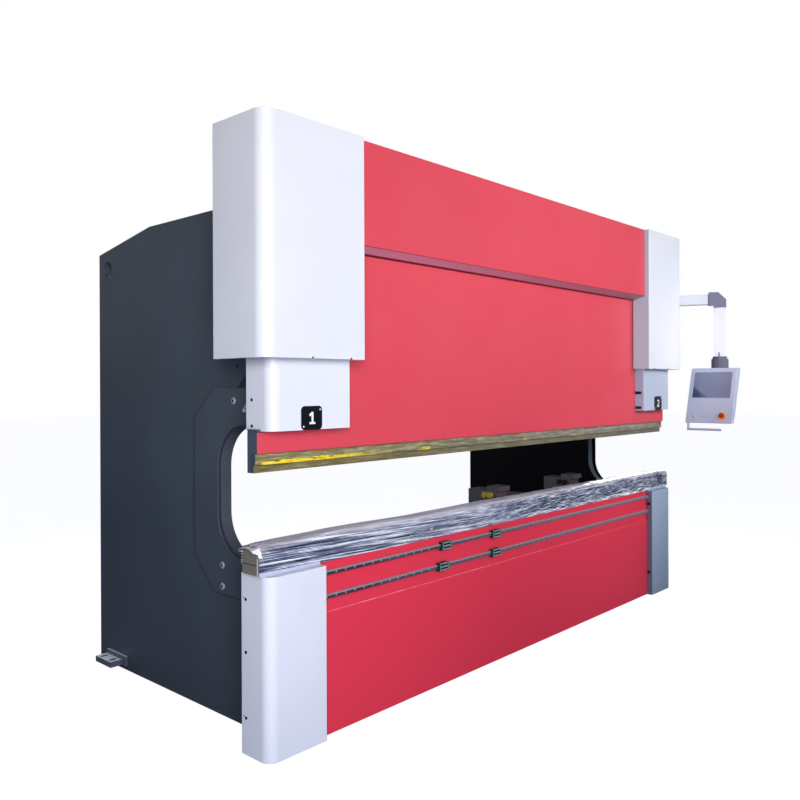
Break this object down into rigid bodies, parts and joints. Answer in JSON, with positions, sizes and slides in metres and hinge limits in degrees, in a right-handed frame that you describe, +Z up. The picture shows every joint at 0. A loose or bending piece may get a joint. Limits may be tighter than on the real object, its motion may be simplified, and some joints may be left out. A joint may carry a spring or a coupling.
{
  "type": "hydraulic press brake",
  "caption": "Hydraulic press brake for bending sheet metal: moving ram over a film-wrapped die, side frames, white end covers, swinging control panel and back gauge.",
  "frame": {"origin": "on the floor under the middle of the bend line", "axes": "+X along the bend line towards the control panel, +Y to the rear, +Z up"},
  "size_m": [4.4928, 2.2333, 2.746],
  "materials": {
    "slate_enamel": "satin powder coat, fine orange peel",
    "red_enamel": "satin enamel",
    "white_enamel": "satin powder coat",
    "grey_enamel": "satin powder coat",
    "greased_steel": "ground steel under amber rust-preventing grease",
    "machined_steel": "machined, lightly oiled",
    "rail_steel": "ground hardened rail",
    "hard_chrome": "polished",
    "stretch_film": "crinkled stretch film",
    "carriage_plastic": "green end caps on a dark steel block",
    "black_plastic": "moulded",
    "grey_plastic": "moulded, fine grain",
    "gauge_aluminium": "dark anodised",
    "display_glass": "display glass",
    "stop_red": "moulded",
    "stop_yellow": "moulded",
    "bright_button": "polished cap"
  },
  "bodies": {
    "machine": {"left_side_frame": "slate_enamel", "right_side_frame": "slate_enamel", "left_throat_plate": "slate_enamel", "right_throat_plate": "slate_enamel", "rear_tie": "slate_enamel", "upper_tie": "slate_enamel", "oil_tank": "slate_enamel", "arm_bracket": "slate_enamel", "electric_cabinet": "slate_enamel", "pump_motor": "slate_enamel", "table_beam": "red_enamel", "upper_front_panel": "red_enamel", "left_table_cover": "white_enamel", "right_table_cover": "white_enamel", "left_cylinder_cover": "white_enamel", "right_cylinder_cover": "white_enamel", "crowning_base": "machined_steel", "v_die": "machined_steel", "rear_feet": "machined_steel", "ram_guide_blocks": "machined_steel", "left_cylinder": "machined_steel", "right_cylinder": "machined_steel", "upper_rail": "rail_steel", "lower_rail": "rail_steel", "film_wrap": "stretch_film", "gauge_rails": "gauge_aluminium"},
    "ram": {"ram_plate": "red_enamel", "tool_clamp": "greased_steel", "left_ram_cover": "white_enamel", "right_ram_cover": "white_enamel", "number_badges": "black_plastic", "piston_rods": "hard_chrome", "ram_guide_rails": "machined_steel"},
    "upper_left_slider": {"upper_left_carriage": "carriage_plastic"},
    "upper_right_slider": {"upper_right_carriage": "carriage_plastic"},
    "lower_left_slider": {"lower_left_carriage": "carriage_plastic"},
    "lower_right_slider": {"lower_right_carriage": "carriage_plastic"},
    "swing_arm": {"pendant_arm": "white_enamel"},
    "control_panel": {"swivel_collar": "grey_plastic", "control_box": "grey_enamel", "screen": "display_glass", "stop_collar": "stop_yellow"},
    "stop_push": {"stop_button": "stop_red"},
    "start_push": {"start_button": "bright_button"},
    "back_gauge": {"gauge_beam": "gauge_aluminium"},
    "left_finger": {"left_gauge_finger": "gauge_aluminium"},
    "right_finger": {"right_gauge_finger": "gauge_aluminium"}
  },
  "joints": [
    {"name": "ram_stroke", "type": "slide", "parent": "machine", "child": "ram", "axis": [0, 0, 1], "range_m": [-0.16, 0]},
    {"name": "upper_left_travel", "type": "slide", "parent": "machine", "child": "upper_left_slider", "axis": [1, 0, 0], "range_m": [-0.83625, 0.18625]},
    {"name": "upper_right_travel", "type": "slide", "parent": "machine", "child": "upper_right_slider", "axis": [1, 0, 0], "range_m": [-0.18625, 1.94625]},
    {"name": "lower_left_travel", "type": "slide", "parent": "machine", "child": "lower_left_slider", "axis": [1, 0, 0], "range_m": [-0.81325, 0.19625]},
    {"name": "lower_right_travel", "type": "slide", "parent": "machine", "child": "lower_right_slider", "axis": [1, 0, 0], "range_m": [-0.19625, 1.94925]},
    {"name": "arm_swing", "type": "hinge", "parent": "machine", "child": "swing_arm", "pos_m": [2.1, 0.27, 2.283], "axis": [0, 0, 1], "range_deg": [-10, 80]},
    {"name": "panel_swivel", "type": "hinge", "parent": "swing_arm", "child": "control_panel", "pos_m": [2.355, -0.355, 1.824], "axis": [0, 0, 1], "range_deg": [-90, 90]},
    {"name": "stop_press", "type": "slide", "parent": "control_panel", "child": "stop_push", "axis": [0.938, 0.0557, -0.342], "range_m": [0, 0.004]},
    {"name": "start_press", "type": "slide", "parent": "control_panel", "child": "start_push", "axis": [0.938, 0.0557, -0.342], "range_m": [0, 0.003], "stiffness_N_per_m": 800, "springref_m": -0.002},
    {"name": "gauge_travel", "type": "slide", "parent": "machine", "child": "back_gauge", "axis": [0, 1, 0], "range_m": [-0.06, 0.64]},
    {"name": "left_finger_travel", "type": "slide", "parent": "back_gauge", "child": "left_finger", "axis": [1, 0, 0], "range_m": [-2.1, 0.2]},
    {"name": "right_finger_travel", "type": "slide", "parent": "back_gauge", "child": "right_finger", "axis": [1, 0, 0], "range_m": [-0.6, 0.03]}
  ]
}
